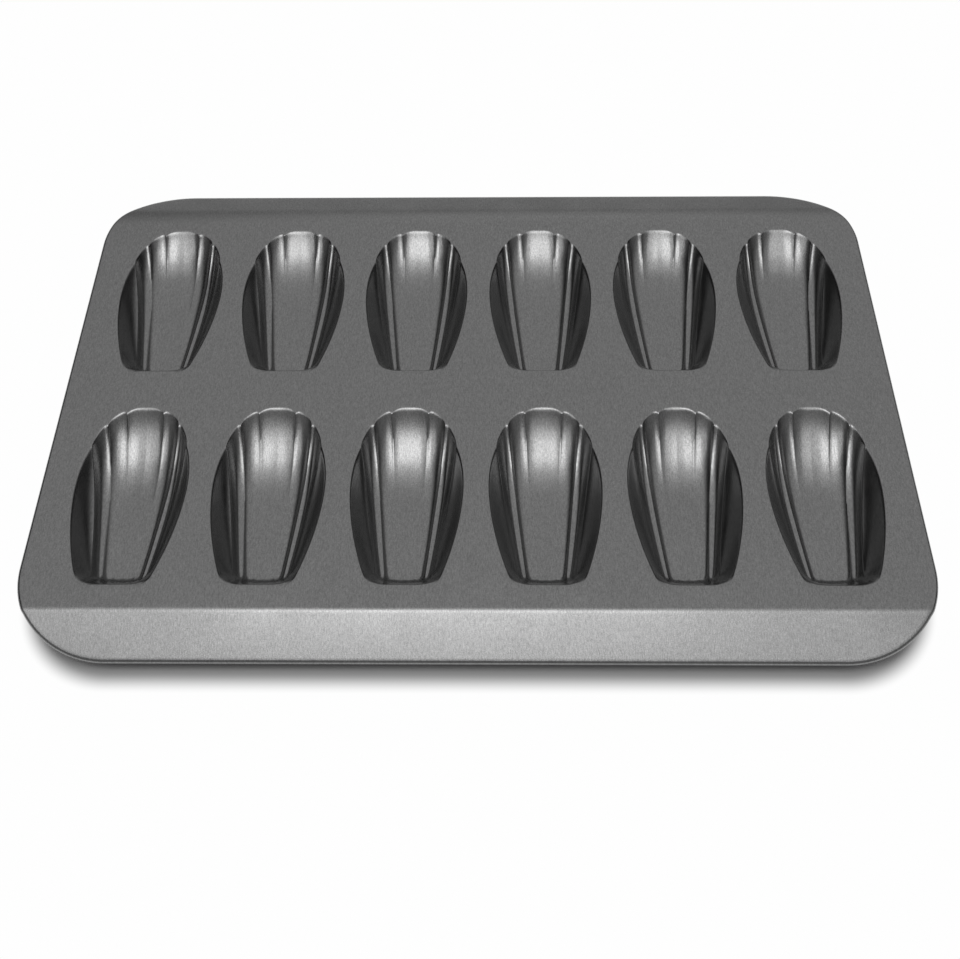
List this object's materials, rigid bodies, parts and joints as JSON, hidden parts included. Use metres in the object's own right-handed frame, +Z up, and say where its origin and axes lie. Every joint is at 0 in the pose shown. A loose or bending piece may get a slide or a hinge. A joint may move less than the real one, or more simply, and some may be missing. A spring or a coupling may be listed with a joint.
{
  "type": "madeleine pan",
  "caption": "Shallow dark metal baking sheet with rows of fluted shell cups, sloping front and back flanges and a rolled wired edge.",
  "frame": {"origin": "under the middle of the pan, on the surface that the cups stand on", "axes": "+X along the width to the right, +Y to the back edge, away from the narrow ends of the cups, +Z up out of the cups"},
  "size_m": [0.385, 0.265, 0.015],
  "materials": {
    "coated_steel": "semi-gloss dark grey metallic non-stick coating",
    "wire_steel": "bare drawn steel wire"
  },
  "bodies": {
    "root": {"deck": "coated_steel", "front_flange": "coated_steel", "back_flange": "coated_steel", "left_rim": "coated_steel", "right_rim": "coated_steel", "front_rim": "coated_steel", "back_rim": "coated_steel", "rim_wire": "wire_steel", "cup_front_1": "coated_steel", "cup_front_2": "coated_steel", "cup_front_3": "coated_steel", "cup_front_4": "coated_steel", "cup_front_5": "coated_steel", "cup_front_6": "coated_steel", "cup_back_1": "coated_steel", "cup_back_2": "coated_steel", "cup_back_3": "coated_steel", "cup_back_4": "coated_steel", "cup_back_5": "coated_steel", "cup_back_6": "coated_steel"}
  },
  "joints": []
}
